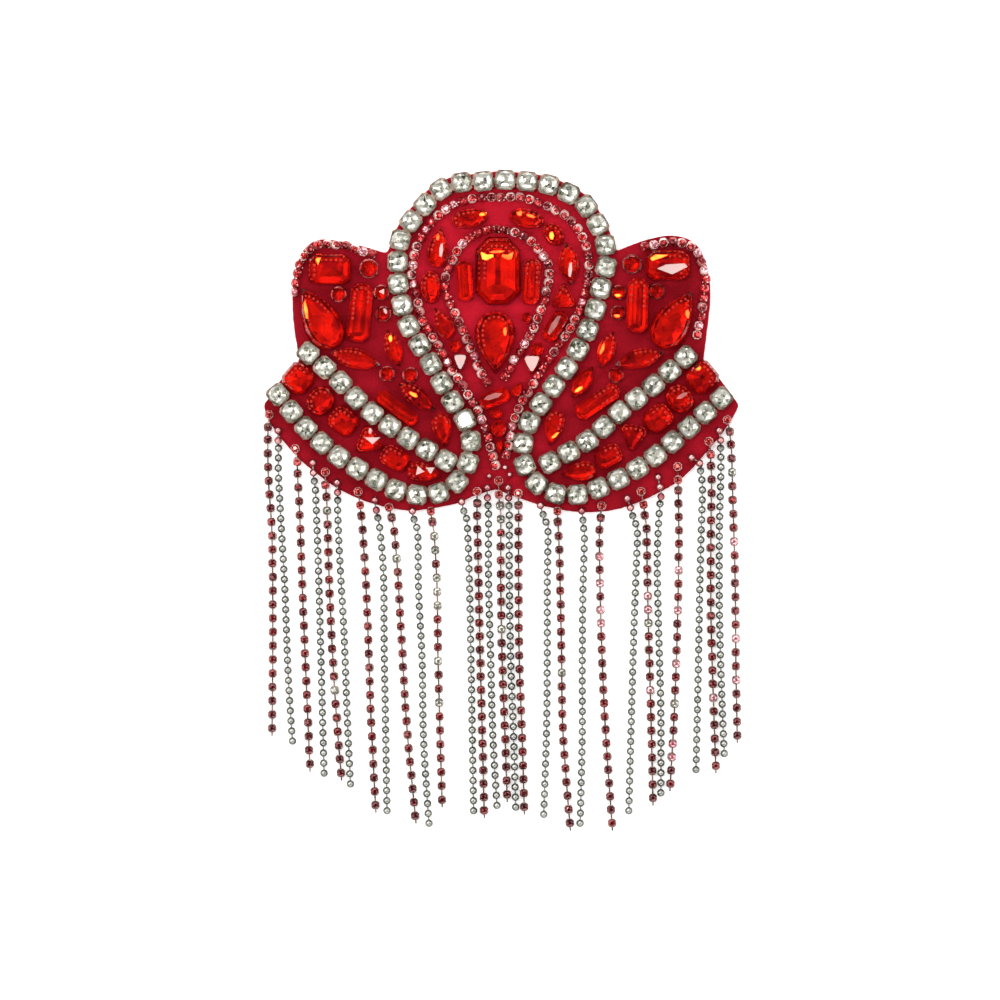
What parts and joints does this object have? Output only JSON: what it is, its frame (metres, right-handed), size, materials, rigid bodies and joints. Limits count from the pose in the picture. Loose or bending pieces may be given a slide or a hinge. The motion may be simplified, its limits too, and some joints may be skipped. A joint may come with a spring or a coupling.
{
  "type": "rhinestone fringe epaulette",
  "caption": "Shoulder epaulette of red felt set with cut red glass stones and clear crystals in metal cups, with a long fringe of rhinestone and ball chains.",
  "frame": {"origin": "middle of the felt, on its back face", "axes": "+Z from the felt's back towards the stones, +Y from the fringe towards the loop at the top, +X to the right as the stones are looked at"},
  "size_m": [0.1336, 0.1839, 0.0063],
  "materials": {
    "felt": "felt",
    "cup_metal": "polished",
    "clear_crystal": "polished",
    "red_stone": "polished",
    "rhinestone_trim": "polished",
    "rhinestone_chain": "polished",
    "ball_chain": "polished"
  },
  "bodies": {
    "root": {"backing": "felt", "border_cups": "cup_metal", "border_crystals": "clear_crystal", "left_row_cups": "cup_metal", "left_row_crystals": "clear_crystal", "right_row_cups": "cup_metal", "right_row_crystals": "clear_crystal", "loop_trim": "rhinestone_trim", "drop_trim": "rhinestone_trim", "left_wing_trim": "rhinestone_trim", "right_wing_trim": "rhinestone_trim", "centre_stone": "red_stone", "centre_drop": "red_stone", "centre_side_stones": "red_stone", "ring_stones": "red_stone", "lower_stones": "red_stone", "left_wing_stone": "red_stone", "left_wing_pear": "red_stone", "left_wing_baguette": "red_stone", "left_wing_navettes": "red_stone", "left_chatons": "red_stone", "left_lower_stones": "red_stone", "left_petal_stones": "red_stone", "right_wing_stone": "red_stone", "right_wing_pear": "red_stone", "right_wing_baguette": "red_stone", "right_wing_navettes": "red_stone", "right_chatons": "red_stone", "right_lower_stones": "red_stone", "right_petal_stones": "red_stone", "strand_left_1": "rhinestone_chain", "strand_left_2": "ball_chain", "strand_left_3": "rhinestone_chain", "strand_left_4": "ball_chain", "strand_left_5": "rhinestone_chain", "strand_left_6": "ball_chain", "strand_left_7": "rhinestone_chain", "strand_left_8": "ball_chain", "strand_left_9": "rhinestone_chain", "strand_left_10": "ball_chain", "strand_left_11": "rhinestone_chain", "strand_middle_1": "ball_chain", "strand_middle_2": "rhinestone_chain", "strand_middle_3": "ball_chain", "strand_middle_4": "rhinestone_chain", "strand_middle_5": "ball_chain", "strand_middle_6": "rhinestone_chain", "strand_right_1": "ball_chain", "strand_right_2": "rhinestone_chain", "strand_right_3": "ball_chain", "strand_right_4": "rhinestone_chain", "strand_right_5": "ball_chain", "strand_right_6": "rhinestone_chain", "strand_right_7": "ball_chain", "strand_right_8": "rhinestone_chain", "strand_right_9": "ball_chain", "strand_right_10": "rhinestone_chain", "strand_right_11": "ball_chain", "strand_right_12": "rhinestone_chain"}
  },
  "joints": []
}
